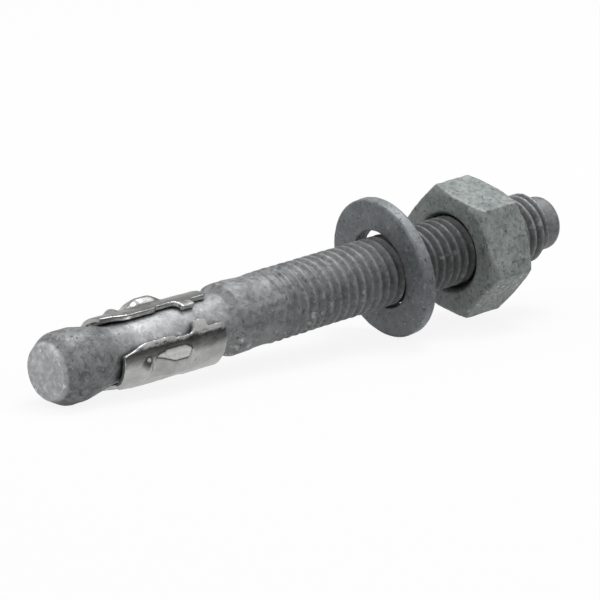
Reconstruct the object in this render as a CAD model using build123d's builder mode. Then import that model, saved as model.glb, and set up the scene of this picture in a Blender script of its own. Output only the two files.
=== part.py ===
"""Wedge anchor, M10 x 90, hot-dip galvanised, lying on its side.

The stud lies along +X with its nose low: the nose and the loose washer's rim touch the ground (Z = 0).
Sizes are in millimetres. Stations (names ending in _at) are measured along the stud from the nose end.
Angles round the stud are measured from its top, positive towards -Y.
"""

import os
from math import asin, atan2, cos, degrees, hypot, pi, radians, sin, tan

from build123d import *

# ---------------------------------------------------------------- driving dimensions

# stud
stud_length = 90.7
nose_diameter = 9.7
nose_face_diameter = 7.2     # its flat end, up to the bevel round it
nose_bevel = 2.1             # length of that bevel along the stud
nose_edge = 0.5              # rounding between the flat end and the bevel
nose_blend = 2.4             # rounding between the bevel and the full width
cone_at = 4.4                # the nose starts to taper here
cone_length = 4.8
neck_diameter = 7.8          # waist that the clip sits on
shoulder_at = 28.2           # the neck meets the shoulder's chamfer here
shoulder_chamfer = 1.1       # length of that chamfer along the stud
cone_blend = 3.0             # softens both ends of the cone
neck_fillet = 0.5
collar_diameter = 9.9
collar_edge = 0.35           # rounding of the collar's rim
collar_land = 1.9            # full-width part of the collar
collar_taper = 2.8           # length over which the collar shrinks to the blank
taper_softening = 0.21       # how far the taper's ends are rounded off, along its sides
blank_diameter = 9.5         # rod between the collar and the thread
thread_at = 35.8
thread_diameter = 9.8        # crests of the rolled M10 thread
thread_runout = 1.0
thread_end_at = 86.9
point_diameter = 7.6         # smooth point beyond the thread
point_chamfer = 0.9
point_corner = 1.1           # rounding of the point's end

# expansion clip
clip_at = 8.7                # front edge
clip_length = 17.3
sheet = 0.75                 # sheet thickness
clip_play = 0.42             # between the neck and the inside of the clip
clip_rest = 0.06             # what is left of the play where the hanging rear end meets the neck
lobe_angle = 86.0            # each of the clip's lobes
seam_angle = 52.5            # opening between the lobes at the seam
seam_turn = 42.3             # where the seam is, round the stud
tab_reach = 13.0             # how far, in degrees, a tab stands out from its lobe's edge
tab_at = 12.2                # tabs and bridges start here, from the clip's front edge
tab_length = 2.2
tab_corner = 0.2
bridge_fillet = 1.35         # where a tab or a bridge leaves the lobe
slot_corner = 0.3
corner_angle = 12.5          # how far the front corners of a lobe are cut back, in degrees
corner_length = 3.1
corner_blend = 7.0
jog_angle = 4.5              # relief in the lobe's edge in front of the tab, in degrees
jog_at = 8.7                 # middle of the step into that relief, from the clip's front edge
jog_length = 0.6
rear_corner_angle = 3.5      # small cut of the rear corners
rear_corner_length = 0.35
boss_at = 5.5                # foot of a lobe's boss, from the clip's front edge
boss_ramp = 2.3              # length of its front slope
boss_top_length = 2.1
boss_back = 1.4              # length of its rear slope
boss_angle = 40.0            # the boss with its side slopes
boss_height = 0.9
boss_taper = 30.0            # of its side walls, from square
boss_corner = 1.2            # seen from outside
leaf_at = 3.7                # middle of the leaf-shaped dimple, from the clip's front edge
leaf_length = 3.6
leaf_width = 2.1
leaf_height = 0.32

# washer, to fit an M10 thread
washer_diameter = 19.8
washer_hole = 11.2
washer_thickness = 1.95
washer_edge = 0.3
washer_at = 58.6             # middle of its front face
washer_lean = 11.0           # from upright, its top towards the nose
washer_yaw = 4.8             # turned about the vertical, its front towards -Y
washer_lift = 0.28           # its middle above the stud's axis
washer_side = 0.23           # and beside it, towards +Y

# nut, M10
nut_flats = 16.7
nut_height = 7.9
nut_face_diameter = 16.4     # edge of the round chamfer on each face
nut_chamfer_angle = 30.0
nut_countersink = 11.5
nut_countersink_depth = 0.7
nut_play = 0.3               # between the thread's crests and the nut's bore
nut_rest = 0.05              # what is left of the play above the thread, where the nut hangs on it
nut_at = 71.4
nut_turn = -14.0             # one of its corners, round the stud

# ---------------------------------------------------------------- how the anchor lies

nose_radius = nose_diameter / 2
thread_radius = thread_diameter / 2
neck_radius = neck_diameter / 2
point_radius = point_diameter / 2

# Middle of the washer above the ground: a leaning disc with bevelled edges, standing on its rim.
washer_middle_height = washer_diameter / 2 * cos(radians(washer_lean)) + (
    washer_thickness / 2 - washer_edge
) * sin(radians(washer_lean))
# The nose rests on the rounding behind its bevel. The axis rises from there to the washer's hole.
nose_face_radius = nose_face_diameter / 2
nose_bevel_angle = atan2(nose_radius - nose_face_radius, nose_bevel)
nose_land_at = nose_bevel + nose_blend * tan(nose_bevel_angle / 2)
rise_run = washer_at + washer_thickness / 2 - nose_land_at
rise_arm = nose_radius - nose_blend
rise = washer_middle_height - washer_lift - nose_blend
lie_angle = degrees(asin(rise / hypot(rise_run, rise_arm)) - atan2(rise_arm, rise_run))

lean_cos = cos(radians(lie_angle))
lean_sin = sin(radians(lie_angle))
nose_height = rise_arm * lean_cos + nose_blend - nose_land_at * lean_sin
# The whole length is centred on X = 0. It reaches furthest back at the top of the nose's flat end.
nose_flat_radius = nose_face_radius - nose_edge * tan((pi / 2 - nose_bevel_angle) / 2)
reach_back = nose_edge - nose_edge * lean_cos + nose_flat_radius * lean_sin
reach_front = (stud_length - point_corner) * lean_cos + (point_radius - point_corner) * lean_sin + point_corner
nose_end = Vector((reach_back - reach_front) / 2, 0, nose_height)
stud_direction = Vector(lean_cos, 0, lean_sin)

# Half sections are drawn on this plane: x along the stud, y up from its axis.
stud_section = Plane(origin=nose_end, x_dir=stud_direction, z_dir=(0, -1, 0))
stud_axis = Axis(nose_end, stud_direction)


def across(section, station, turn=0.0):
    """Plane square to the axis of a half section: its y axis points up, turned round that axis."""
    sideways = Vector(0, 1, 0).rotate(Axis(section.origin, section.x_dir), turn)
    return Plane(origin=section.origin + section.x_dir * station, x_dir=sideways, z_dir=section.x_dir)


# ---------------------------------------------------------------- stud

cone_end_at = cone_at + cone_length
collar_at = shoulder_at + shoulder_chamfer
taper_at = collar_at + collar_land
blank_at = taper_at + collar_taper
point_at = thread_end_at + point_chamfer
collar_radius = collar_diameter / 2
blank_radius = blank_diameter / 2
taper_blend = taper_softening / tan(atan2(abs(collar_radius - blank_radius), collar_taper) / 2)

with BuildPart() as stud:
    with BuildSketch(stud_section):
        with BuildLine():
            FilletPolyline(
                (0, 0),
                (0, nose_face_radius),
                (nose_bevel, nose_radius),
                (cone_at, nose_radius),
                (cone_end_at, neck_radius),
                (shoulder_at, neck_radius),
                (collar_at, collar_radius),
                (taper_at, collar_radius),
                (blank_at, blank_radius),
                (thread_at - thread_runout, blank_radius),
                (thread_at, thread_radius),
                (thread_end_at, thread_radius),
                (point_at, point_radius),
                (stud_length, point_radius),
                (stud_length, 0),
                radius=(
                    nose_edge,
                    nose_blend,
                    cone_blend,
                    cone_blend,
                    neck_fillet,
                    collar_edge,
                    taper_blend,
                    taper_blend,
                    0,
                    0,
                    0,
                    0,
                    point_corner,
                ),
            )
            Line((stud_length, 0), (0, 0))
        make_face()
    revolve(axis=stud_axis)


# ---------------------------------------------------------------- expansion clip

clip_bore_radius = neck_radius + clip_play
clip_radius = clip_bore_radius + sheet
tab_end = tab_at + tab_length

# The loose clip is centred at its front edge, by the cone, and its rear end hangs on the neck.
clip_droop = degrees(asin((clip_play - clip_rest) / clip_length))
clip_front = nose_end + stud_direction * clip_at
clip_direction = Vector(cos(radians(lie_angle - clip_droop)), 0, sin(radians(lie_angle - clip_droop)))
clip_section = Plane(origin=clip_front, x_dir=clip_direction, z_dir=(0, -1, 0))
clip_axis = Axis(clip_front, clip_direction)

# Half of the seam's opening and half a lobe lie between the seam and the lobes beside it.
# The third lobe lies opposite the seam.
lobe_step = (seam_angle + lobe_angle) / 2
lobe_turns = (seam_turn - lobe_step, seam_turn + lobe_step, seam_turn + 180)
slot_angle = (360 - seam_angle - 3 * lobe_angle) / 2
slot_step = (lobe_angle + slot_angle) / 2
slot_turns = (seam_turn + 180 - slot_step, seam_turn + 180 + slot_step)

cut_margin = 1.0             # cuts start and end this far outside the sheet
cut_inside = clip_bore_radius / 2
cut_outside = clip_radius + cut_margin


def on_clip(distance, turn=0.0):
    """Plane touching a cylinder round the clip's axis: x along the clip from its front edge."""
    outward = clip_section.y_dir.rotate(clip_axis, turn)
    return Plane(origin=clip_front + outward * distance, x_dir=clip_direction, z_dir=outward)


def radial_cut(turn, outline, fillets):
    """Two outlines to loft between, so that a cut's walls stand square to the sheet.

    The outline is half of it, as (distance along the clip, angle from the cut's middle) points.
    """
    half = [(x, tan(radians(angle))) for x, angle in outline]
    whole = half + [(x, -slope) for x, slope in reversed(half)]
    rounded = fillets + fillets[::-1]
    faces = []
    for distance in (cut_inside, cut_outside):
        with BuildSketch(on_clip(distance, turn)) as section:
            with BuildLine():
                FilletPolyline(
                    [(x, slope * distance) for x, slope in whole],
                    radius=[size * distance / clip_radius for size in rounded],
                    close=True,
                )
            make_face()
        faces.append(section.sketch.face())
    return faces


def front_outline(half_angle):
    """Half of an opening between two lobes, from in front of the clip to the tabs or the bridge."""
    outline = [
        (-cut_margin, half_angle + corner_angle),
        (0, half_angle + corner_angle),
        (corner_length, half_angle),
        (jog_at - jog_length / 2, half_angle),
        (jog_at + jog_length / 2, half_angle + jog_angle),
        (tab_at, half_angle + jog_angle),
    ]
    return outline, [0, 0, corner_blend, slot_corner, slot_corner, bridge_fillet]


def rear_outline(half_angle):
    """Half of an opening from the tabs or the bridge to behind the clip."""
    outline = [
        (tab_end, half_angle),
        (clip_length - rear_corner_length, half_angle),
        (clip_length, half_angle + rear_corner_angle),
        (clip_length + cut_margin, half_angle + rear_corner_angle),
    ]
    return outline, [slot_corner, slot_corner, 0, 0]


# The two pressed shapes of the topmost lobe, made apart: each is used outside and, lowered by
# the sheet's thickness, inside.

# The boss stands on the sheet with its side walls' feet, and its front and rear slopes run down
# to that level too, so that they end in curves on the round sheet.
boss_half_width = clip_radius * sin(radians(boss_angle / 2))
boss_foot = clip_radius * cos(radians(boss_angle / 2))
boss_top = clip_radius + boss_height
boss_top_at = boss_at + boss_ramp
boss_back_at = boss_top_at + boss_top_length
foot_share = (boss_top - boss_foot) / boss_height
boss_front = boss_top_at - boss_ramp * foot_share
boss_rear = boss_back_at + boss_back * foot_share

with BuildPart() as boss:
    with BuildSketch(on_clip(boss_foot)):
        with Locations(((boss_front + boss_rear) / 2, 0)):
            RectangleRounded(boss_rear - boss_front, 2 * boss_half_width, boss_corner)
    extrude(amount=boss_top - boss_foot, taper=boss_taper)
    with BuildSketch(clip_section):
        with BuildLine():
            Polyline(
                (boss_front, boss_foot),
                (boss_top_at, boss_top),
                (boss_back_at, boss_top),
                (boss_rear, boss_foot),
                close=True,
            )
        make_face()
    extrude(amount=boss_half_width, both=True, mode=Mode.INTERSECT)
    # Its top is round, like the sheet.
    with BuildSketch(across(clip_section, 0)):
        Circle(boss_top)
    extrude(amount=clip_length, mode=Mode.INTERSECT)

# The leaf is a dome of revolution about a line across the clip. Its girth is the circle through
# its height and its width on the sheet, and its outline an arc that sinks its tips into the sheet.
leaf_girth = (leaf_height**2 + (leaf_width / 2) ** 2) / (2 * leaf_height)
leaf_middle = clip_radius + leaf_height - leaf_girth
leaf_tip_angle = leaf_length / 2 / clip_radius
leaf_tip_across = clip_radius * sin(leaf_tip_angle)
leaf_tip_drop = leaf_middle + leaf_girth - clip_radius * cos(leaf_tip_angle)
leaf_arc = (leaf_tip_across**2 + leaf_tip_drop**2) / (2 * leaf_tip_drop)
leaf_reach = (leaf_arc**2 - (leaf_arc - leaf_girth) ** 2) ** 0.5
leaf_section = Plane(
    origin=clip_front + clip_direction * leaf_at + clip_section.y_dir * leaf_middle,
    x_dir=(0, 1, 0),
    z_dir=clip_direction,
)

with BuildPart() as leaf:
    with BuildSketch(leaf_section):
        with BuildLine():
            ThreePointArc((-leaf_reach, 0), (0, leaf_girth), (leaf_reach, 0))
            Line((leaf_reach, 0), (-leaf_reach, 0))
        make_face()
    revolve(axis=Axis(leaf_section.origin, leaf_section.x_dir))

sheet_down = Location(-clip_section.y_dir * sheet)

with BuildPart() as expansion_clip:
    # A tube with its bosses and leaves pressed out, all bored through.
    with BuildSketch(across(clip_section, 0)):
        Circle(clip_radius)
    extrude(amount=clip_length)
    for lobe_turn in lobe_turns:
        add([boss.part.rotate(clip_axis, lobe_turn), leaf.part.rotate(clip_axis, lobe_turn)])
    with BuildSketch(across(clip_section, 0)):
        Circle(clip_bore_radius)
    extrude(amount=clip_length, mode=Mode.SUBTRACT)
    for lobe_turn in lobe_turns:
        for pressed in (boss.part, leaf.part):
            add(pressed.moved(sheet_down).rotate(clip_axis, lobe_turn), mode=Mode.SUBTRACT)

    # The seam runs the whole length, narrowed by the tabs.
    tab_half = seam_angle / 2 - tab_reach
    front, front_fillets = front_outline(seam_angle / 2)
    rear, rear_fillets = rear_outline(seam_angle / 2)
    seam = front + [(tab_at, tab_half), (tab_end, tab_half)] + rear
    loft(radial_cut(seam_turn, seam, front_fillets + [tab_corner, tab_corner] + rear_fillets), mode=Mode.SUBTRACT)
    # The slots stop at a bridge.
    for slot_turn in slot_turns:
        loft(radial_cut(slot_turn, *front_outline(slot_angle / 2)), mode=Mode.SUBTRACT)
        loft(radial_cut(slot_turn, *rear_outline(slot_angle / 2)), mode=Mode.SUBTRACT)


# ---------------------------------------------------------------- washer

washer_normal = Vector(
    cos(radians(washer_lean)) * cos(radians(washer_yaw)),
    -cos(radians(washer_lean)) * sin(radians(washer_yaw)),
    sin(radians(washer_lean)),
)
washer_middle = nose_end + stud_direction * (washer_at + washer_thickness / 2) + Vector(0, washer_side, washer_lift)
washer_face = Plane(
    origin=washer_middle - washer_normal * (washer_thickness / 2),
    x_dir=Vector(0, 0, 1).cross(washer_normal),
    z_dir=washer_normal,
)

with BuildPart() as washer:
    with BuildSketch(washer_face):
        Circle(washer_diameter / 2)
    extrude(amount=washer_thickness)
    chamfer(washer.edges(), washer_edge)
    with BuildSketch(washer_face):
        Circle(washer_hole / 2)
    extrude(amount=washer_thickness, mode=Mode.SUBTRACT)


# ---------------------------------------------------------------- nut

nut_corner_radius = nut_flats / 2 / cos(radians(30))
nut_face_radius = nut_face_diameter / 2
nut_chamfer = (nut_corner_radius - nut_face_radius) * tan(radians(nut_chamfer_angle))
nut_bore_radius = thread_radius + nut_play
nut_mouth_radius = nut_countersink / 2
nut_end_at = nut_at + nut_height

# The loose nut hangs on the thread.
nut_origin = nose_end - stud_section.y_dir * (nut_play - nut_rest)
nut_section = Plane(origin=nut_origin, x_dir=stud_direction, z_dir=stud_section.z_dir)
nut_axis = Axis(nut_origin, stud_direction)

with BuildPart() as hex_nut:
    with BuildSketch(across(nut_section, nut_at, nut_turn)):
        RegularPolygon(nut_flats / 2, 6, major_radius=False, rotation=90)
    extrude(amount=nut_height)
    # The turned shape cuts the corners' chamfers, the bore and its countersinks.
    with BuildSketch(nut_section):
        with BuildLine():
            Polyline(
                (nut_at, nut_mouth_radius),
                (nut_at, nut_face_radius),
                (nut_at + nut_chamfer, nut_corner_radius),
                (nut_end_at - nut_chamfer, nut_corner_radius),
                (nut_end_at, nut_face_radius),
                (nut_end_at, nut_mouth_radius),
                (nut_end_at - nut_countersink_depth, nut_bore_radius),
                (nut_at + nut_countersink_depth, nut_bore_radius),
                close=True,
            )
        make_face()
    revolve(axis=nut_axis, mode=Mode.INTERSECT)


# ---------------------------------------------------------------- files

stud.part.label = "stud"
expansion_clip.part.label = "expansion_clip"
washer.part.label = "washer"
hex_nut.part.label = "hex_nut"

os.makedirs("parts", exist_ok=True)
export_step(stud.part, "parts/stud.step")
export_step(expansion_clip.part, "parts/expansion_clip.step")
export_step(washer.part, "parts/washer.step")
export_step(hex_nut.part, "parts/hex_nut.step")
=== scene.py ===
"""Looks of the wedge anchor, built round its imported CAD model.

Blender's lengths are in metres. Sizes along and round the stud are named in millimetres, as in
the CAD source, and are multiplied by MM where Blender takes them.
"""

import math

import bpy
import numpy as np
from mathutils import Matrix, Vector


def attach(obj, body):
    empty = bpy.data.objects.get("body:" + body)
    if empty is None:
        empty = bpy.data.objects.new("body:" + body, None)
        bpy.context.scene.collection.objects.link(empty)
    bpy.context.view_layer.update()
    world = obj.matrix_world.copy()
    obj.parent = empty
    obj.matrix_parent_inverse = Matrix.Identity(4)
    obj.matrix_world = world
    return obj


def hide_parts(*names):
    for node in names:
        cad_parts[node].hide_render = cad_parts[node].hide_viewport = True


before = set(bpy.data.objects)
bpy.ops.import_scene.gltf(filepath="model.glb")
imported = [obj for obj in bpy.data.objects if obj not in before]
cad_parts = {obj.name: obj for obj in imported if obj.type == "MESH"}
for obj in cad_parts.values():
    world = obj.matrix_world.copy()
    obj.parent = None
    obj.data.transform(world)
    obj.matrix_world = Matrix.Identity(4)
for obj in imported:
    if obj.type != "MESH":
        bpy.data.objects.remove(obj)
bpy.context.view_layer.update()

MM = 0.001

# ---------------------------------------------------------------- how the anchor lies

LIE = math.radians(4.770911757620516)  # the stud's rise towards its threaded end
NOSE = Vector((-45.1683, 0, 4.61194)) * MM  # the middle of the CAD nose's flat end
ALONG = Vector((math.cos(LIE), 0, math.sin(LIE)))
UP = Vector((-math.sin(LIE), 0, math.cos(LIE)))
SIDE = Vector((0, -1, 0))
STUD_LENGTH = 91  # rounded up; the looks along the stud are set by shares of it

WASHER_LEAN, WASHER_YAW = math.radians(11.0), math.radians(4.8)
WASHER_ALONG = Vector(
    (
        math.cos(WASHER_LEAN) * math.cos(WASHER_YAW),
        -math.cos(WASHER_LEAN) * math.sin(WASHER_YAW),
        math.sin(WASHER_LEAN),
    )
)
WASHER_AT, WASHER_SIDE, WASHER_LIFT = 58.6, 0.23, 0.28
WASHER_FRONT = NOSE + ALONG * WASHER_AT * MM + Vector((0, WASHER_SIDE, WASHER_LIFT)) * MM

scene = bpy.context.scene
scene.view_settings.view_transform = "Standard"


def new_object(name, data):
    obj = bpy.data.objects.new(name, data)
    scene.collection.objects.link(obj)
    return obj


def shade_smooth(obj):
    for polygon in obj.data.polygons:
        polygon.use_smooth = True


def wear(obj, material):
    obj.data.materials.clear()
    obj.data.materials.append(material)


def read(table, at):
    """The value at a place, or at many, from a table of (place, value)."""
    places, values = zip(*table)
    return np.interp(at, places, values)


# ---------------------------------------------------------------- noise for shapes


def noise_at(points, size, seed, cells=64):
    """Smooth noise in -1..1 with features of about the given size; it repeats every cells."""
    table = np.random.default_rng(seed).uniform(-1, 1, (cells, cells, cells))
    q = points / size
    base = np.floor(q).astype(int)
    t = q - base
    t = t * t * (3 - 2 * t)
    total = np.zeros(len(points))
    for i in (0, 1):
        for j in (0, 1):
            for k in (0, 1):
                weight = (
                    (t[:, 0] if i else 1 - t[:, 0])
                    * (t[:, 1] if j else 1 - t[:, 1])
                    * (t[:, 2] if k else 1 - t[:, 2])
                )
                total += weight * table[
                    (base[:, 0] + i) % cells, (base[:, 1] + j) % cells, (base[:, 2] + k) % cells
                ]
    return total


# ---------------------------------------------------------------- stud with its rolled thread

SEGMENTS = 144
ANGLES = np.arange(SEGMENTS) / SEGMENTS * 2 * math.pi

PROFILE = [
    # station, radius, rounding of that corner
    (-0.45, 3.6, 0.3),
    (1.7, 4.85, 2.3),
    (4.4, 4.85, 3.0),
    (9.2, 3.9, 3.0),
    (28.2, 3.9, 0.5),
    (29.3, 4.95, 0.35),
    (31.2, 4.95, 6.0),
    (34.0, 4.75, 6.0),
]
PROFILE_STEP = 0.35

PITCH = 1.5
THREAD_AT = 35.8
THREAD_FROM, THREAD_TO, THREAD_STEP = 34.6, 87.6, 0.105
ROOT_RADIUS = 3.8
ROOT_FLAT, FLANK = 0.16, 0.66  # shares of half a pitch; the crest has the rest
CREST_RADII = [(34.6, 4.75), (35.0, 4.76), (36.0, 4.9), (86.7, 4.9), (87.6, 3.8)]
# The groove runs in at the collar's end and out at the point.
GROOVE_DEPTHS = [(35.4, 0.0), (38.5, 0.34), (44, 0.45), (58, 0.62), (86.0, 0.8), (88, 0.8)]

POINT_RADIUS, POINT_ROUNDING = 3.8, 1.1
POINT_STATIONS, POINT_ARC_AT, POINT_ARC_ROWS = (88.0, 88.6, 89.1), 89.6, 10

# Zinc lies unevenly on the nose and on the threads near the collar. Each layer of lumps has the
# size of its features, its seed and its height in mm.
COARSE_ZINC, FINE_ZINC, ZINC_DROPS = (1.7, 11, 0.035), (0.55, 12, 0.030), (0.9, 13, 0.09)
DROPS_ABOVE = 0.25
UNEVEN_SHARE = [
    (0, 0.7),
    (5, 1),
    (9.5, 0.7),
    (12, 0.15),
    (27, 0.15),
    (29, 1),
    (34, 1),
    (37, 1.0),
    (56, 0.7),
    (60, 0.35),
    (90, 0.35),
]
DROPS_SHARE = [(0, 0.2), (30, 0.6), (34, 0.8), (37, 1.0), (52, 0.6), (60, 0.1)]
END_FACE_SHARE = [(0, 0), (2.0, 0.3), (3.4, 1)]  # by radius


def rounded_profile(corners, steps=9):
    """Points along a half section whose corners are rounded."""
    points = [(corners[0][0], 0.0)]
    previous = Vector(points[0])
    for index, (x, r, radius) in enumerate(corners):
        here = Vector((x, r))
        following = corners[index + 1][:2] if index + 1 < len(corners) else (x + 1, r)
        before = (previous - here).normalized()
        after = (Vector(following) - here).normalized()
        turn = math.pi - before.angle(after)
        if turn < 1e-4:
            points.append((x, r))
            previous = here
            continue
        reach = radius * math.tan(turn / 2)
        centre = here + (before + after).normalized() * (radius / math.cos(turn / 2))
        start = here + before * reach - centre
        side = 1 if start.x * after.y - start.y * after.x > 0 else -1
        for k in range(steps + 1):
            a = side * turn * k / steps
            c, s = math.cos(a), math.sin(a)
            points.append(
                (centre.x + start.x * c - start.y * s, centre.y + start.x * s + start.y * c)
            )
        previous = here
    return points


def fill_in(points, step):
    """More points along straight stretches of a profile."""
    out = [points[0]]
    for a, b in zip(points, points[1:]):
        n = max(1, math.ceil(math.dist(a, b) / step))
        out += [
            (a[0] + (b[0] - a[0]) * k / n, a[1] + (b[1] - a[1]) * k / n) for k in range(1, n + 1)
        ]
    return out


def groove_shape(phase):
    """How deep the groove is, 0 at the crest to 1 at the root, for a phase in pitches."""
    from_root = np.abs(((phase % 1) - 0.5) * 2)
    return 1 - np.clip((from_root - ROOT_FLAT) / FLANK, 0, 1)


def stud_rows():
    """Stations and radii of the stud's surface: rows along it, columns round it."""
    profile = fill_in(rounded_profile(PROFILE), PROFILE_STEP)
    front = [point for point in profile if point[0] < THREAD_FROM][1:]
    rows = [(station, np.full(SEGMENTS, radius)) for station, radius in front]
    for station in np.arange(THREAD_FROM, THREAD_TO, THREAD_STEP):
        crest = read(CREST_RADII, station)
        phase = (station - THREAD_AT) / PITCH - ANGLES / (2 * math.pi)
        groove = groove_shape(phase) * read(GROOVE_DEPTHS, station)
        rows.append((station, np.maximum(crest - groove, np.minimum(crest, ROOT_RADIUS))))
    rows += [(station, np.full(SEGMENTS, POINT_RADIUS)) for station in POINT_STATIONS]
    for a in np.linspace(0, math.pi / 2, POINT_ARC_ROWS):
        station = POINT_ARC_AT + POINT_ROUNDING * math.sin(a)
        radius = POINT_RADIUS - POINT_ROUNDING + POINT_ROUNDING * math.cos(a)
        rows.append((station, np.full(SEGMENTS, radius)))
    stations = np.stack([np.full(SEGMENTS, station) for station, _ in rows])
    return stations, np.stack([radii for _, radii in rows])


def with_zinc(stations, radii):
    """The radii with the zinc's lumps on them."""
    points = np.stack(
        [
            stations.ravel(),
            (radii * np.cos(ANGLES)).ravel(),
            (radii * np.sin(ANGLES)).ravel(),
        ],
        axis=1,
    )
    station = points[:, 0]
    (coarse, coarse_height), (fine, fine_height), (drops, drops_height) = (
        (noise_at(points, size, seed), height)
        for size, seed, height in (COARSE_ZINC, FINE_ZINC, ZINC_DROPS)
    )
    drops = np.clip(drops - DROPS_ABOVE, 0, 1)
    uneven = (
        coarse_height * coarse
        + fine_height * fine
        + drops_height * drops * read(DROPS_SHARE, station)
    ) * read(UNEVEN_SHARE, station)
    return radii + (uneven * read(END_FACE_SHARE, radii.ravel())).reshape(radii.shape)


def to_world(stations, radii):
    """Points round the stud: the angle is measured from its top, positive towards -Y."""
    x = np.asarray(stations) * MM
    a = np.asarray(radii) * np.cos(ANGLES) * MM
    b = np.asarray(radii) * np.sin(ANGLES) * MM
    return (
        np.asarray(NOSE)
        + x[..., None] * np.asarray(ALONG)
        + a[..., None] * np.asarray(UP)
        + b[..., None] * np.asarray(SIDE)
    )


def closed_tube(name, points):
    """A closed mesh from a grid of points, rows along it and columns round it."""
    rows, columns = points.shape[:2]
    index = np.arange(rows * columns).reshape(rows, columns)
    following = np.roll(index, -1, axis=1)
    corners = [index[:-1], following[:-1], following[1:], index[1:]]
    faces = [tuple(quad) for quad in np.stack(corners, axis=-1).reshape(-1, 4).tolist()]
    faces.append(tuple(index[0][::-1].tolist()))
    faces.append(tuple(index[-1].tolist()))
    mesh = bpy.data.meshes.new(name)
    mesh.from_pydata(points.reshape(-1, 3).tolist(), [], faces)
    mesh.update()
    return new_object(name, mesh)


stations, radii = stud_rows()
stud = closed_tube("stud_threaded", to_world(stations, with_zinc(stations, radii)))
shade_smooth(stud)
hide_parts("stud")
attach(stud, "stud")

# ---------------------------------------------------------------- shader nodes


def empty_tree(owner):
    owner.use_nodes = True
    owner.node_tree.nodes.clear()
    return owner.node_tree


def new_material(name):
    material = bpy.data.materials.new(name)
    tree = empty_tree(material)
    output = tree.nodes.new("ShaderNodeOutputMaterial")
    shader = tree.nodes.new("ShaderNodeBsdfPrincipled")
    tree.links.new(shader.outputs["BSDF"], output.inputs["Surface"])
    return material, tree, shader


def fill_socket(tree, socket, value):
    if isinstance(value, bpy.types.NodeSocket):
        tree.links.new(value, socket)
    else:
        socket.default_value = value


def node(tree, kind, inputs=None, **settings):
    made = tree.nodes.new(kind)
    for key, value in settings.items():
        setattr(made, key, value)
    for key, value in (inputs or {}).items():
        fill_socket(tree, made.inputs[key], value)
    return made


def noise_node(tree, coords, scale, detail=3.0, roughness=0.55, distortion=0.0):
    inputs = {
        "Vector": coords,
        "Scale": scale,
        "Detail": detail,
        "Roughness": roughness,
        "Distortion": distortion,
    }
    return node(tree, "ShaderNodeTexNoise", inputs).outputs["Fac"]


def spread(tree, value, low, high, bottom=0.0, top=1.0):
    """The value's range from low to high, spread over bottom to top and held there."""
    inputs = {"Value": value, "From Min": low, "From Max": high, "To Min": bottom, "To Max": top}
    return node(tree, "ShaderNodeMapRange", inputs).outputs["Result"]


def pattern(tree, coords, noise, comes_in):
    return spread(tree, noise_node(tree, coords, *noise), *comes_in)


def reckon(tree, operation, a, b=0.0):
    return node(tree, "ShaderNodeMath", {0: a, 1: b}, operation=operation).outputs[0]


def times(tree, a, b):
    return reckon(tree, "MULTIPLY", a, b)


def largest(tree, first, *others):
    for other in others:
        first = reckon(tree, "MAXIMUM", first, other)
    return first


def dot(tree, vector, axis):
    inputs = {0: vector, 1: tuple(axis)}
    made = node(tree, "ShaderNodeVectorMath", inputs, operation="DOT_PRODUCT")
    return made.outputs["Value"]


def ramp(tree, value, stops):
    """Colours by (position, colour), where a colour of one number is a grey."""
    made = node(tree, "ShaderNodeValToRGB", {"Fac": value})
    elements = made.color_ramp.elements
    while len(elements) < len(stops):
        elements.new(0.5)
    for element, (position, colour) in zip(elements, stops):
        element.position = position
        element.color = (*(colour if isinstance(colour, tuple) else (colour,) * 3), 1)
    return made.outputs["Color"]


def mix(tree, factor, a, b, blend="MIX"):
    made = node(tree, "ShaderNodeMix", data_type="RGBA", blend_type=blend)
    for socket, value in zip((made.inputs[0], made.inputs[6], made.inputs[7]), (factor, a, b)):
        fill_socket(tree, socket, (*value, 1) if isinstance(value, tuple) else value)
    return made.outputs[2]


def tinted(tree, colour, by):
    return mix(tree, 1.0, colour, by, "MULTIPLY")


def coordinates(tree, kind="Object"):
    return node(tree, "ShaderNodeTexCoord").outputs[kind]


def painted_shade_in_corners(tree, colour, distance, stops):
    """The colour with painted shade: darkened where other surfaces stand close."""
    inputs = {"Distance": distance}
    closed = node(tree, "ShaderNodeAmbientOcclusion", inputs, samples=8).outputs["AO"]
    return tinted(tree, colour, ramp(tree, closed, stops))


def set_bumps(tree, shader, height, strength, distance):
    inputs = {"Strength": strength, "Distance": distance, "Height": height}
    bumps = node(tree, "ShaderNodeBump", inputs)
    tree.links.new(bumps.outputs["Normal"], shader.inputs["Normal"])


# ---------------------------------------------------------------- materials

# A noise is given by its scale per metre, detail, roughness and distortion, and a pattern by a
# noise and the range of its values over which the pattern comes in.
NOISE_MIDDLE = (0.3, 0.7)  # the range that most values of a noise lie in

ZINC_BROAD = (430, 5.0, 0.66, 0.4)
ZINC_FINE = (1500, 4.0, 0.65)
ZINC_GRAIN = (2300, 4.0, 0.65)
BROAD_SHARE, FINE_SHARE = 0.45, 0.55
MOTTLING_DARK, MOTTLING_LIGHT = 0.42, 0.58
ZINC_PITS = (1900, 2.0, 0.5), (0.62, 0.70)
ZINC_STAINS = (640, 5.0, 0.7, 0.6), (0.50, 0.60)
# Bright flecks are painted glints of the zinc.
ZINC_FLECKS = (1150, 4.0, 0.65), (0.60, 0.68)
CURL_PATCHES = (520, 2.0), (0.50, 0.60)
CURLS = (950, 1.5, 0.5, 1.2)
CURL_WIDTH, CURL_EDGE = 0.012, 0.030  # off the noise's middle
PIT_STRENGTH, STAIN_STRENGTH, FLECK_STRENGTH = 0.75, 0.65, 0.5
STAINED_ZINC = (0.11, 0.115, 0.12)
ZINC_SHINE_AND_WEAR_GAIN = (1.9, 1.9, 1.9)  # gain on the colour for painted glints on bright flecks, and for edges that show wear and a painted highlight
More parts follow.
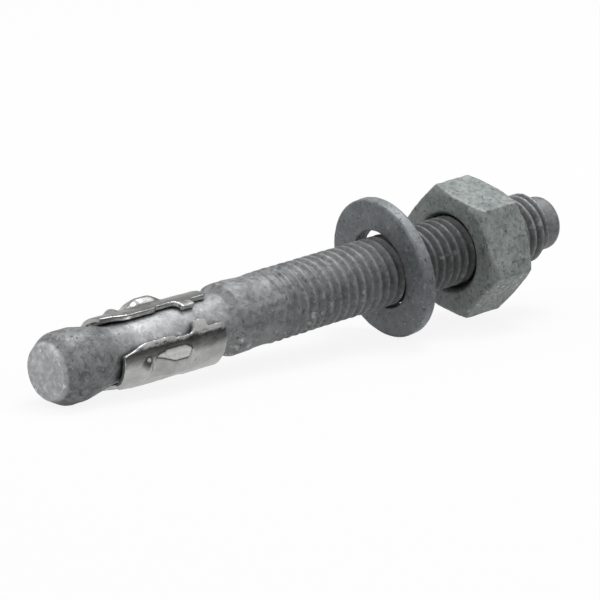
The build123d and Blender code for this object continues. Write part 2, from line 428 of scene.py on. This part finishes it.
# Patches where edges show wear and a painted highlight.
WEAR_AND_SHEEN_PATCHES = (0.35, 0.6, 0.25, 1.0)
SIDE_LIGHT_FACING = (0.3, 0.8)  # painted light on the sides: cosines to the axis where a surface is wholly side, and wholly face
# Painted shade where other surfaces stand close: occlusion against darkening, and how far it
# reaches in mm.
ZINC_SHADE_STOPS = [(0.0, 0.16), (0.75, 1.0)]
ZINC_SHADE_REACH, ZINC_BUMP_HEIGHT = 1.6, 0.12
ZINC_ROUGHNESS = (0.40, 0.62)
LIGHTNESS_GAIN = 4.0
BLUER = 1.01

STEEL_BROAD = (260, 5.0, 0.6)
STEEL_SHADES = [(0.38, (0.45, 0.45, 0.445)), (0.62, (0.63, 0.63, 0.62))]
STEEL_STAINS = (900, 3.0, 0.6, 0.5), (0.63, 0.70)
STEEL_STAIN, STEEL_STAIN_STRENGTH = (0.22, 0.22, 0.22), 0.6
# Painted shade where other surfaces stand close: occlusion against darkening, and how far it
# reaches in mm.
STEEL_SHADE_STOPS = [(0.15, 0.12), (0.7, 1.0)]
STEEL_SHADE_REACH, STEEL_BUMP_HEIGHT, STEEL_BUMP = 1.2, 0.08, 0.3
STEEL_POLISH, STEEL_ROUGHNESS = (700, 3.0), (0.13, 0.23)
STEEL_WAVES = (420, 4.0)

# The stud's tone along it; the dip round the washer and the nut is painted shade.
STUD_TONE_AND_SHADE = [
    # station, lightness / LIGHTNESS_GAIN, share of pits
    (0.0, 0.55, 0.3),
    (0.12, 0.28, 1.0),
    (8.2, 0.28, 1.0),
    (11.5, 0.38, 0.6),
    (13.0, 0.60, 0.4),
    (26.0, 0.42, 0.5),
    (29.2, 0.33, 0.9),
    (34.0, 0.31, 0.8),
    (40.0, 0.27, 0.9),
    (52.0, 0.22, 0.5),
    (59.0, 0.17, 0.2),
    (70.0, 0.14, 0.2),
    (79.0, 0.21, 0.4),
    (90.0, 0.26, 0.4),
]


def curled_lines(tree, coords):
    """Thin dark curls, in patches, 0 to 1."""
    off_middle = reckon(tree, "SUBTRACT", noise_node(tree, coords, *CURLS), 0.5)
    line = reckon(tree, "ABSOLUTE", off_middle)
    line = spread(tree, line, CURL_WIDTH, CURL_EDGE, 1.0, 0.0)
    return times(tree, line, pattern(tree, coords, *CURL_PATCHES))


def shaded_along(tree, coords, colour, pits, table):
    """Colour and pits as the table of stations along the stud has them, with its painted shade by
    the washer and nut.
    """
    from_nose = reckon(tree, "SUBTRACT", dot(tree, coords, ALONG), NOSE.dot(ALONG))
    station = times(tree, from_nose, 1 / (STUD_LENGTH * MM))
    shades = [(x / STUD_LENGTH, (v, v, v * BLUER)) for x, v, _ in table]
    gain = tinted(tree, ramp(tree, station, shades), (LIGHTNESS_GAIN,) * 3)
    colour = tinted(tree, colour, gain)
    share = ramp(tree, station, [(x / STUD_LENGTH, v) for x, _, v in table])
    pits = times(tree, pits, share)
    stains = times(tree, pattern(tree, coords, *ZINC_STAINS), times(tree, share, share))
    colour = mix(tree, times(tree, stains, STAIN_STRENGTH), colour, STAINED_ZINC)
    # Bright flecks: painted glints.
    flecks = times(tree, pattern(tree, coords, *ZINC_FLECKS), FLECK_STRENGTH)
    return mix(tree, flecks, colour, tinted(tree, colour, ZINC_SHINE_AND_WEAR_GAIN)), pits


def zinc(name, dark, light, speck, metallic, worn_and_sheen_at, bump=0.4, curls=0.0, along=None, lit_rim=None):
    """Hot-dip galvanised steel: matt, mottled grey with small dark specks and pits.

    worn_and_sheen_at is the pointiness at which edges begin to show wear and a painted highlight
    and that at which they fully do, along a table of tone, painted shade and pits by station, and
    lit_rim an axis with the gain on the colour of what faces away from it, which paints light on
    those sides. Where other surfaces stand close, the colour gets painted shade.
    """
    material, tree, shader = new_material(name)
    coords = coordinates(tree)
    broad = noise_node(tree, coords, *ZINC_BROAD)
    fine = noise_node(tree, coords, *ZINC_FINE)
    mottling = reckon(tree, "ADD", times(tree, broad, BROAD_SHARE), times(tree, fine, FINE_SHARE))
    colour = ramp(tree, mottling, [(MOTTLING_DARK, dark), (MOTTLING_LIGHT, light)])
    pits = times(tree, pattern(tree, coords, *ZINC_PITS), PIT_STRENGTH)
    if curls:
        pits = largest(tree, pits, times(tree, curled_lines(tree, coords), curls))
    # Painted light: surfaces that face away from the axis are lightened.
    if lit_rim:
        axis, gain = lit_rim
        facing = reckon(tree, "ABSOLUTE", dot(tree, coordinates(tree, "Normal"), axis))
        colour = tinted(tree, colour, spread(tree, facing, *SIDE_LIGHT_FACING, gain, 1.0))
    if along:
        colour, pits = shaded_along(tree, coords, colour, pits, along)
    colour = mix(tree, pits, colour, speck)
    point = node(tree, "ShaderNodeNewGeometry").outputs["Pointiness"]
    # Edges lightened as wear and as a painted highlight.
    wear_and_sheen = times(tree, spread(tree, point, *worn_and_sheen_at), spread(tree, fine, *WEAR_AND_SHEEN_PATCHES))
    colour = mix(tree, wear_and_sheen, colour, tinted(tree, colour, ZINC_SHINE_AND_WEAR_GAIN))
    # Painted shade in corners and between parts.
    colour = painted_shade_in_corners(tree, colour, ZINC_SHADE_REACH * MM, ZINC_SHADE_STOPS)
    tree.links.new(colour, shader.inputs["Base Color"])
    roughness = spread(tree, fine, *NOISE_MIDDLE, *ZINC_ROUGHNESS)
    tree.links.new(roughness, shader.inputs["Roughness"])
    shader.inputs["Metallic"].default_value = metallic
    between_pits = reckon(tree, "SUBTRACT", 1.0, pits)
    grain = noise_node(tree, coords, *ZINC_GRAIN)
    height = mix(tree, 0.5, grain, mix(tree, 0.5, broad, between_pits))
    set_bumps(tree, shader, height, bump, ZINC_BUMP_HEIGHT * MM)
    return material


def sheet_steel():
    """Bright rolled sheet, a little dulled."""
    material, tree, shader = new_material("sheet_steel")
    coords = coordinates(tree)
    colour = ramp(tree, noise_node(tree, coords, *STEEL_BROAD), STEEL_SHADES)
    stains = times(tree, pattern(tree, coords, *STEEL_STAINS), STEEL_STAIN_STRENGTH)
    colour = mix(tree, stains, colour, STEEL_STAIN)
    # Painted shade in corners and between parts.
    colour = painted_shade_in_corners(tree, colour, STEEL_SHADE_REACH * MM, STEEL_SHADE_STOPS)
    tree.links.new(colour, shader.inputs["Base Color"])
    polish = noise_node(tree, coords, *STEEL_POLISH)
    roughness = spread(tree, polish, *NOISE_MIDDLE, *STEEL_ROUGHNESS)
    tree.links.new(roughness, shader.inputs["Roughness"])
    shader.inputs["Metallic"].default_value = 1.0
    waves = noise_node(tree, coords, *STEEL_WAVES)
    set_bumps(tree, shader, waves, STEEL_BUMP, STEEL_BUMP_HEIGHT * MM)
    return material


stud_zinc = zinc(
    "zinc_stud",
    dark=(0.205, 0.21, 0.215),
    light=(0.32, 0.325, 0.325),
    speck=(0.08, 0.08, 0.085),
    metallic=0.35,
    bump=0.35,
    along=STUD_TONE_AND_SHADE,
    worn_and_sheen_at=(0.515, 0.56),
)
washer_zinc = zinc(
    "zinc_washer",
    dark=(0.18, 0.195, 0.205),
    light=(0.27, 0.285, 0.29),
    speck=(0.07, 0.07, 0.08),
    metallic=0.45,
    worn_and_sheen_at=(0.55, 0.64),
    lit_rim=(WASHER_ALONG, 1.35),
)
nut_zinc = zinc(
    "zinc_nut",
    dark=(0.235, 0.26, 0.255),
    light=(0.385, 0.415, 0.405),
    speck=(0.10, 0.12, 0.11),
    metallic=0.35,
    curls=0.8,
    worn_and_sheen_at=(0.55, 0.65),
    lit_rim=(ALONG, 1.14),
)
clip_steel = sheet_steel()

clip, washer, nut = (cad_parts[name] for name in ("expansion_clip", "washer", "hex_nut"))
wear(stud, stud_zinc)
wear(nut, nut_zinc)

# ---------------------------------------------------------------- softened copies of CAD meshes


def soften(obj, voxel, rounds, lumps, size):
    """Rounds the edges with even facets and lets the zinc lie in low lumps; sizes in mm."""
    remesh = obj.modifiers.new("even", "REMESH")
    remesh.mode, remesh.voxel_size, remesh.use_smooth_shade = "VOXEL", voxel * MM, True
    smooth = obj.modifiers.new("round", "SMOOTH")
    smooth.factor, smooth.iterations = 0.5, rounds
    clouds = bpy.data.textures.new(obj.name + "_zinc", "CLOUDS")
    clouds.noise_scale, clouds.noise_depth = size * MM, 3
    lump = obj.modifiers.new("lumps", "DISPLACE")
    lump.texture, lump.strength, lump.mid_level = clouds, lumps * MM, 0.5
    lump.texture_coords = "LOCAL"


def settle(obj):
    """Takes the object's modifiers into its mesh."""
    graph = bpy.context.evaluated_depsgraph_get()
    mesh = bpy.data.meshes.new_from_object(obj.evaluated_get(graph))
    obj.modifiers.clear()
    obj.data = mesh


def copy_of(name, original):
    obj = new_object(name, original.data.copy())
    obj.matrix_world = original.matrix_world
    return obj


def mesh_points(mesh):
    points = np.empty(len(mesh.vertices) * 3)
    mesh.vertices.foreach_get("co", points)
    return points.reshape(-1, 3)


def move_points(mesh, points):
    mesh.vertices.foreach_set("co", points.ravel())
    mesh.update()


# ---------------------------------------------------------------- washer

HOLE_TIGHTER, TIGHT_BY_DEPTH = 0.2, 1.0
RIM_OF_HOLE, RIM_WIDTH = 6.6, 0.6  # the push ends at this reach from the washer's axis


def tighten_hole(mesh):
    """A punched hole is tighter towards the washer's back."""
    points = mesh_points(mesh)
    axis = np.asarray(WASHER_ALONG)
    off = points - np.asarray(WASHER_FRONT)
    depth = off @ axis
    across = off - depth[:, None] * axis
    reach = np.linalg.norm(across, axis=1)
    by_depth = np.clip(depth / (TIGHT_BY_DEPTH * MM), 0, 1)
    by_reach = np.clip((RIM_OF_HOLE * MM - reach) / (RIM_WIDTH * MM), 0, 1)
    push = HOLE_TIGHTER * MM * by_depth * by_reach
    move_points(mesh, points - across / reach[:, None] * push[:, None])


punched = copy_of("washer_punched", washer)
soften(punched, voxel=0.13, rounds=2, lumps=0.08, size=1.3)
settle(punched)
tighten_hole(punched.data)
wear(punched, washer_zinc)
shade_smooth(punched)
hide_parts("washer")
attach(punched, "washer")

# ---------------------------------------------------------------- nut

soften(nut, voxel=0.15, rounds=6, lumps=0.15, size=1.6)

# ---------------------------------------------------------------- clip

CLIP_HANG, CLIP_LENGTH = 0.36, 17.3  # its rear hangs on the neck by so much
CLIP_AT = 8.7
CLIP_LIE = LIE - math.asin(CLIP_HANG / CLIP_LENGTH)
CLIP_FRONT = NOSE + ALONG * CLIP_AT * MM
CLIP_ALONG = Vector((math.cos(CLIP_LIE), 0, math.sin(CLIP_LIE)))
CLIP_UP = Vector((-math.sin(CLIP_LIE), 0, math.cos(CLIP_LIE)))
LOBE_TURNS = (-26.95, 111.55, 222.3)  # degrees from the clip's top towards -Y

# Stations are in mm from the clip's front, and turns in degrees from the lobe's middle.
LEAF_AT, LEAF_SLANT = 3.8, 0.022
LEAF_HALF_WIDTH, LEAF_HALF_TURN, LEAF_HEIGHT = 0.95, 29, 0.22
BOSS_FROM, BOSS_TO, BOSS_FRONT, BOSS_BACK, BOSS_HEIGHT = 6.5, 10.8, 0.5, 0.8, 0.10
BOSS_TURN, BOSS_SIDE = 25, 5
SOFT_FROM, SOFT_TO, SOFT_ENDS = 5.2, 11.9, 0.6
SOFT_TURN, SOFT_SIDE = 27, 5
SOFT_STEPS, SOFT_ROUNDS = 10, 35


def on_clip(mesh):
    """The mesh's points, and their stations and turns on the clip."""
    points = mesh_points(mesh)
    off = (points - np.asarray(CLIP_FRONT)) / MM
    turn = np.degrees(np.arctan2(off @ np.asarray(SIDE), off @ np.asarray(CLIP_UP)))
    return points, off @ np.asarray(CLIP_ALONG), turn


def from_middle(turn, lobe):
    """Degrees from the lobe's middle, signed."""
    return (turn - lobe + 180) % 360 - 180


def boss_share(mesh):
    """1 at the bosses of the lobes, falling to 0 round them."""
    _, station, turn = on_clip(mesh)
    along = np.clip(np.minimum(station - SOFT_FROM, SOFT_TO - station) / SOFT_ENDS, 0, 1)
    share = np.zeros(len(station))
    for lobe in LOBE_TURNS:
        round_it = np.clip((SOFT_TURN - np.abs(from_middle(turn, lobe))) / SOFT_SIDE, 0, 1)
        share = np.maximum(share, along * round_it)
    return share


def swell(mesh):
    """Raises the leaf-shaped dimple and the boss of each lobe."""
    points, station, turn = on_clip(mesh)
    angle = np.radians(turn)[:, None]
    outward = np.cos(angle) * np.asarray(CLIP_UP) + np.sin(angle) * np.asarray(SIDE)
    from_front, from_back = (station - BOSS_FROM) / BOSS_FRONT, (BOSS_TO - station) / BOSS_BACK
    along = np.clip(np.minimum(from_front, from_back), 0, 1)
    for lobe in LOBE_TURNS:
        off = from_middle(turn, lobe)
        from_ridge = (station - LEAF_AT + LEAF_SLANT * off) / LEAF_HALF_WIDTH
        reach = np.clip(np.hypot(from_ridge, off / LEAF_HALF_TURN), 0, 1)
        points += outward * (LEAF_HEIGHT * MM * np.cos(reach * math.pi / 2) ** 2)[:, None]
        round_it = np.clip((BOSS_TURN - np.abs(off)) / BOSS_SIDE, 0, 1)
        points += outward * (BOSS_HEIGHT * MM * along * round_it)[:, None]
    move_points(mesh, points)


def smooth_bosses(obj):
    """Draws the bosses into soft swellings, as a press leaves them."""
    steps = np.round(boss_share(obj.data) * SOFT_STEPS).astype(int)
    group = obj.vertex_groups.new(name="pressed")
    for step in range(1, SOFT_STEPS + 1):
        group.add(np.nonzero(steps == step)[0].tolist(), step / SOFT_STEPS, "REPLACE")
    smooth = obj.modifiers.new("pressed", "SMOOTH")
    smooth.factor, smooth.iterations, smooth.vertex_group = 0.5, SOFT_ROUNDS, group.name
    settle(obj)


pressed = copy_of("clip_pressed", clip)
soften(pressed, voxel=0.11, rounds=7, lumps=0.07, size=1.2)
settle(pressed)
swell(pressed.data)
smooth_bosses(pressed)
wear(pressed, clip_steel)
shade_smooth(pressed)
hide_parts("expansion_clip")
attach(pressed, "clip")

# ---------------------------------------------------------------- floor

FLOOR_HALF = 3.0
FLOOR_GLOW = 0.88
# What metal sees of the floor: bright behind the anchor and dark in front of it, from
# FLOOR_NEAR to FLOOR_FAR, in metres towards -Y.
FLOOR_NEAR, FLOOR_FAR = -0.02, 0.06
FLOOR_IN_METAL = [(0.0, 0.72), (0.36, 0.72), (0.40, 0.5), (0.45, 0.28), (0.53, 0.15), (1.0, 0.06)]
PAPER, PAPER_TO_CAMERA = (0.45, 0.45, 0.45), (0.92, 0.92, 0.92)
WHITE = (1, 1, 1, 1)


def floor_material():
    """Nearly white to the camera, graded to metal beside it, and it keeps a soft shadow."""
    material = bpy.data.materials.new("floor")
    tree = empty_tree(material)
    output = tree.nodes.new("ShaderNodeOutputMaterial")
    path = node(tree, "ShaderNodeLightPath").outputs
    colour = mix(tree, path["Is Camera Ray"], PAPER, PAPER_TO_CAMERA)
    paper = node(tree, "ShaderNodeBsdfDiffuse", {"Color": colour})
    place = node(tree, "ShaderNodeNewGeometry").outputs["Position"]
    outwards = spread(tree, dot(tree, place, SIDE), FLOOR_NEAR, FLOOR_FAR)
    strength = largest(tree, path["Is Camera Ray"], ramp(tree, outwards, FLOOR_IN_METAL))
    glow = node(tree, "ShaderNodeEmission", {"Color": WHITE, "Strength": strength})
    rays = (path["Is Camera Ray"], path["Is Glossy Ray"], path["Is Transmission Ray"])
    share = times(tree, largest(tree, *rays), FLOOR_GLOW)
    inputs = {0: share, 1: paper.outputs[0], 2: glow.outputs[0]}
    both = node(tree, "ShaderNodeMixShader", inputs)
    tree.links.new(both.outputs[0], output.inputs["Surface"])
    return material


floor_mesh = bpy.data.meshes.new("floor")
floor_mesh.from_pydata(
    [(x * FLOOR_HALF, y * FLOOR_HALF, 0) for x, y in ((-1, -1), (1, -1), (1, 1), (-1, 1))],
    [],
    [(0, 1, 2, 3)],
)
floor = new_object("floor", floor_mesh)
wear(floor, floor_material())

# ---------------------------------------------------------------- studio

# Towards here the studio is dark low down, which draws the dark band on the clip, and has a
# softbox higher up.
DARK_SIDE = Vector((0.68, -0.73, 0))
NOSE_LIGHT = Vector((-0.95, -0.1, 0.25)).normalized()
OVERHEAD = [(0.0, 0.0), (0.40, 0.04), (0.60, 0.22), (0.70, 0.34), (0.80, 1.0)]  # by height
SOFTBOX = [(0.10, 0.0), (0.20, 0.6), (0.6, 0.9)]  # by height
# Ranges of a direction's share of an axis, with the brightness at both ends where it isn't 0 and 1.
SOFTBOX_REACH, NOSE_LIGHT_REACH = (0.5, 0.75), (0.6, 0.95)
BEHIND, FRONT = (0.1, 0.8, 0.0, 0.50), (0.15, 0.6, 0.30, 0.03)


def studio():
    """Bright overhead, half bright behind the anchor, a softbox beside it and a light on the
    nose; the camera sees white."""
    world = bpy.data.worlds.new("studio")
    tree = empty_tree(world)
    output = tree.nodes.new("ShaderNodeOutputWorld")
    camera_ray = node(tree, "ShaderNodeLightPath").outputs["Is Camera Ray"]
    direction = coordinates(tree, "Generated")
    parts = node(tree, "ShaderNodeSeparateXYZ", {0: direction}).outputs
    aside = dot(tree, direction, DARK_SIDE)
    overhead = ramp(tree, parts["Z"], OVERHEAD)
    behind = spread(tree, parts["Y"], *BEHIND)
    softbox = times(tree, spread(tree, aside, *SOFTBOX_REACH), ramp(tree, parts["Z"], SOFTBOX))
    nose_light = spread(tree, dot(tree, direction, NOSE_LIGHT), *NOSE_LIGHT_REACH)
    front = spread(tree, aside, *FRONT)
    seen = largest(tree, overhead, behind, softbox, nose_light, front, camera_ray)
    background = node(tree, "ShaderNodeBackground", {"Color": WHITE, "Strength": seen})
    tree.links.new(background.outputs[0], output.inputs["Surface"])
    return world


def area_light(name, place, target, size, power):
    data = bpy.data.lights.new(name, "AREA")
    data.shape = "DISK"
    data.size = size
    data.energy = power
    lamp = new_object(name, data)
    lamp.location = place
    lamp.rotation_mode = "QUATERNION"
    lamp.rotation_quaternion = (Vector(target) - Vector(place)).to_track_quat("-Z", "Y")


scene.world = studio()
area_light("key", place=(0.22, 0.02, 0.75), target=(0, 0, 0.01), size=0.35, power=1.8)

# ---------------------------------------------------------------- camera

# The camera stands where the photographer's did: a long lens, from in front of the nose. Its
# right, down and ahead are given in a frame along the stud, turned about it by CAMERA_TURN.
CAMERA_TURN = math.radians(69.6)
NORMAL = UP * math.sin(CAMERA_TURN) - SIDE * math.cos(CAMERA_TURN)
ACROSS = UP * math.cos(CAMERA_TURN) + SIDE * math.sin(CAMERA_TURN)
FOCAL_PIXELS, PHOTO_PIXELS, SENSOR = 3885, 600, 36
CLOSER = 0.99  # of the distance that the photo's perspective gave
AIM_AT, AIM_SHIFT = 42.94, 0.2
CAMERA_OFF = (-0.6756, -0.3945, 524.94)  # of the aim, to the right, down and ahead


def in_frame(a, b, c):
    return ALONG * a + NORMAL * b + ACROSS * c


def photographers_camera():
    right = in_frame(0.73290, -0.29244, 0.61427)
    down = in_frame(-0.22413, -0.95628, -0.18785)
    ahead = in_frame(0.64236, 0.0, -0.76641)
    aim = NOSE + ALONG * (AIM_AT * CLOSER + AIM_SHIFT) * MM
    to_right, downwards, away = CAMERA_OFF
    place = aim - (right * to_right + down * downwards + ahead * away) * CLOSER * MM
    data = bpy.data.cameras.new("camera")
    data.sensor_width = SENSOR
    data.lens = FOCAL_PIXELS / PHOTO_PIXELS * SENSOR
    data.clip_start, data.clip_end = 0.01, 20
    camera = new_object("camera", data)
    turned = Matrix((right, -down, -ahead)).transposed().to_4x4()
    turned.translation = place
    camera.matrix_world = turned
    return camera


scene.camera = photographers_camera()
